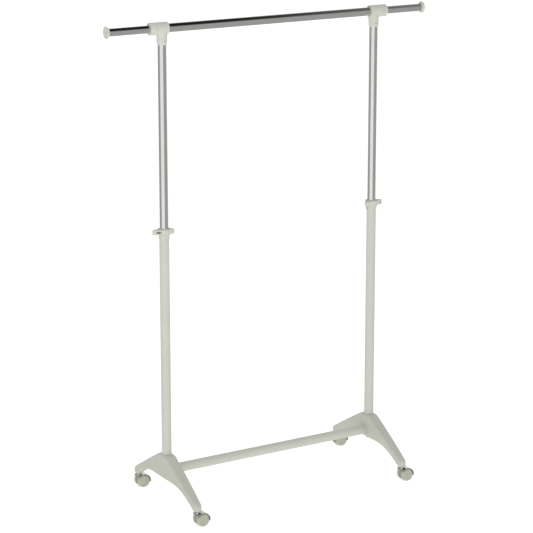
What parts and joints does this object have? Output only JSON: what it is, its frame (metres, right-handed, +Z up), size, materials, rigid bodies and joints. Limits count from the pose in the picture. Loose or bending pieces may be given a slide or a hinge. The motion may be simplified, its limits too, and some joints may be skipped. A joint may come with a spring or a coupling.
{
  "type": "rolling clothes rack",
  "caption": "Rolling clothes rack: telescoping chrome bar on two height-adjustable posts, wishbone feet joined by a crossbar, hooded twin-wheel casters.",
  "frame": {"origin": "on the floor under the middle of the rack, at the bottom centre of its box", "axes": "+Z up along the posts, +X along the hanging bar, -Y towards the front, the side with the fitting screws"},
  "size_m": [1.067, 0.406, 1.4418],
  "materials": {
    "painted_tube": "satin light grey powder coat",
    "moulded_feet": "satin light grey moulded plastic",
    "moulded_fittings": "satin off-white moulded plastic",
    "chrome_tube": "bright chrome plate",
    "chrome_hood": "bright plated plastic",
    "wheel_plastic": "satin grey-beige plastic",
    "zinc_plate": "zinc plate",
    "hidden_plastic": "black moulded nylon"
  },
  "bodies": {
    "base": {"foot_left": "moulded_feet", "frame_bolt_left": "zinc_plate", "lower_post_left": "painted_tube", "post_insert_left": "zinc_plate", "grip_bush_left": "moulded_fittings", "caster_front_left_socket": "hidden_plastic", "caster_back_left_socket": "hidden_plastic", "foot_right": "moulded_feet", "frame_bolt_right": "zinc_plate", "lower_post_right": "painted_tube", "post_insert_right": "zinc_plate", "grip_bush_right": "moulded_fittings", "caster_front_right_socket": "hidden_plastic", "caster_back_right_socket": "hidden_plastic", "crossbar": "painted_tube"},
    "upper_frame": {"upper_post_left": "chrome_tube", "slide_plug_left": "hidden_plastic", "bar_tee_left": "moulded_fittings", "bar_screw_left": "zinc_plate", "post_screw_left": "zinc_plate", "upper_post_right": "chrome_tube", "slide_plug_right": "hidden_plastic", "bar_tee_right": "moulded_fittings", "bar_screw_right": "zinc_plate", "post_screw_right": "zinc_plate", "main_bar": "chrome_tube"},
    "collar_left": {"lock_collar_left": "moulded_fittings"},
    "extension_left": {"extension_bar_left": "chrome_tube", "bar_guide_left": "hidden_plastic", "end_cap_left": "moulded_fittings"},
    "caster_front_left": {"caster_front_left_hood": "chrome_hood", "caster_front_left_stem": "zinc_plate", "caster_front_left_axle": "zinc_plate"},
    "caster_front_left_wheel_front": {"caster_front_left_wheel_front": "wheel_plastic"},
    "caster_front_left_wheel_back": {"caster_front_left_wheel_back": "wheel_plastic"},
    "caster_back_left": {"caster_back_left_hood": "chrome_hood", "caster_back_left_stem": "zinc_plate", "caster_back_left_axle": "zinc_plate"},
    "caster_back_left_wheel_front": {"caster_back_left_wheel_front": "wheel_plastic"},
    "caster_back_left_wheel_back": {"caster_back_left_wheel_back": "wheel_plastic"},
    "collar_right": {"lock_collar_right": "moulded_fittings"},
    "extension_right": {"extension_bar_right": "chrome_tube", "bar_guide_right": "hidden_plastic", "end_cap_right": "moulded_fittings"},
    "caster_front_right": {"caster_front_right_hood": "chrome_hood", "caster_front_right_stem": "zinc_plate", "caster_front_right_axle": "zinc_plate"},
    "caster_front_right_wheel_front": {"caster_front_right_wheel_front": "wheel_plastic"},
    "caster_front_right_wheel_back": {"caster_front_right_wheel_back": "wheel_plastic"},
    "caster_back_right": {"caster_back_right_hood": "chrome_hood", "caster_back_right_stem": "zinc_plate", "caster_back_right_axle": "zinc_plate"},
    "caster_back_right_wheel_front": {"caster_back_right_wheel_front": "wheel_plastic"},
    "caster_back_right_wheel_back": {"caster_back_right_wheel_back": "wheel_plastic"}
  },
  "joints": [
    {"name": "height_slide", "type": "slide", "parent": "base", "child": "upper_frame", "axis": [0, 0, 1], "range_m": [-0.52, 0.04]},
    {"name": "extension_left_slide", "type": "slide", "parent": "upper_frame", "child": "extension_left", "axis": [-1, 0, 0], "range_m": [-0.12, 0.15]},
    {"name": "extension_right_slide", "type": "slide", "parent": "upper_frame", "child": "extension_right", "axis": [1, 0, 0], "range_m": [-0.12, 0.15]},
    {"name": "collar_left_turn", "type": "hinge", "parent": "base", "child": "collar_left", "pos_m": [-0.358, 0, 0.8373], "axis": [0, 0, 1], "range_deg": [0, 60]},
    {"name": "collar_right_turn", "type": "hinge", "parent": "base", "child": "collar_right", "pos_m": [0.358, 0, 0.8373], "axis": [0, 0, 1], "range_deg": [0, 60]},
    {"name": "caster_front_left_swivel", "type": "hinge", "parent": "base", "child": "caster_front_left", "pos_m": [-0.358, -0.184, 0.05], "axis": [0, 0, 1], "continuous": true},
    {"name": "caster_front_left_wheel_front_spin", "type": "hinge", "parent": "caster_front_left", "child": "caster_front_left_wheel_front", "pos_m": [-0.3465, -0.184, 0.0195], "axis": [0, 1, 0], "continuous": true},
    {"name": "caster_front_left_wheel_back_spin", "type": "hinge", "parent": "caster_front_left", "child": "caster_front_left_wheel_back", "pos_m": [-0.3465, -0.184, 0.0195], "axis": [0, 1, 0], "continuous": true},
    {"name": "caster_back_left_swivel", "type": "hinge", "parent": "base", "child": "caster_back_left", "pos_m": [-0.358, 0.184, 0.05], "axis": [0, 0, 1], "continuous": true},
    {"name": "caster_back_left_wheel_front_spin", "type": "hinge", "parent": "caster_back_left", "child": "caster_back_left_wheel_front", "pos_m": [-0.3465, 0.184, 0.0195], "axis": [0, 1, 0], "continuous": true},
    {"name": "caster_back_left_wheel_back_spin", "type": "hinge", "parent": "caster_back_left", "child": "caster_back_left_wheel_back", "pos_m": [-0.3465, 0.184, 0.0195], "axis": [0, 1, 0], "continuous": true},
    {"name": "caster_front_right_swivel", "type": "hinge", "parent": "base", "child": "caster_front_right", "pos_m": [0.358, -0.184, 0.05], "axis": [0, 0, 1], "continuous": true},
    {"name": "caster_front_right_wheel_front_spin", "type": "hinge", "parent": "caster_front_right", "child": "caster_front_right_wheel_front", "pos_m": [0.3695, -0.184, 0.0195], "axis": [0, 1, 0], "continuous": true},
    {"name": "caster_front_right_wheel_back_spin", "type": "hinge", "parent": "caster_front_right", "child": "caster_front_right_wheel_back", "pos_m": [0.3695, -0.184, 0.0195], "axis": [0, 1, 0], "continuous": true},
    {"name": "caster_back_right_swivel", "type": "hinge", "parent": "base", "child": "caster_back_right", "pos_m": [0.358, 0.184, 0.05], "axis": [0, 0, 1], "continuous": true},
    {"name": "caster_back_right_wheel_front_spin", "type": "hinge", "parent": "caster_back_right", "child": "caster_back_right_wheel_front", "pos_m": [0.3695, 0.184, 0.0195], "axis": [0, 1, 0], "continuous": true},
    {"name": "caster_back_right_wheel_back_spin", "type": "hinge", "parent": "caster_back_right", "child": "caster_back_right_wheel_back", "pos_m": [0.3695, 0.184, 0.0195], "axis": [0, 1, 0], "continuous": true}
  ]
}
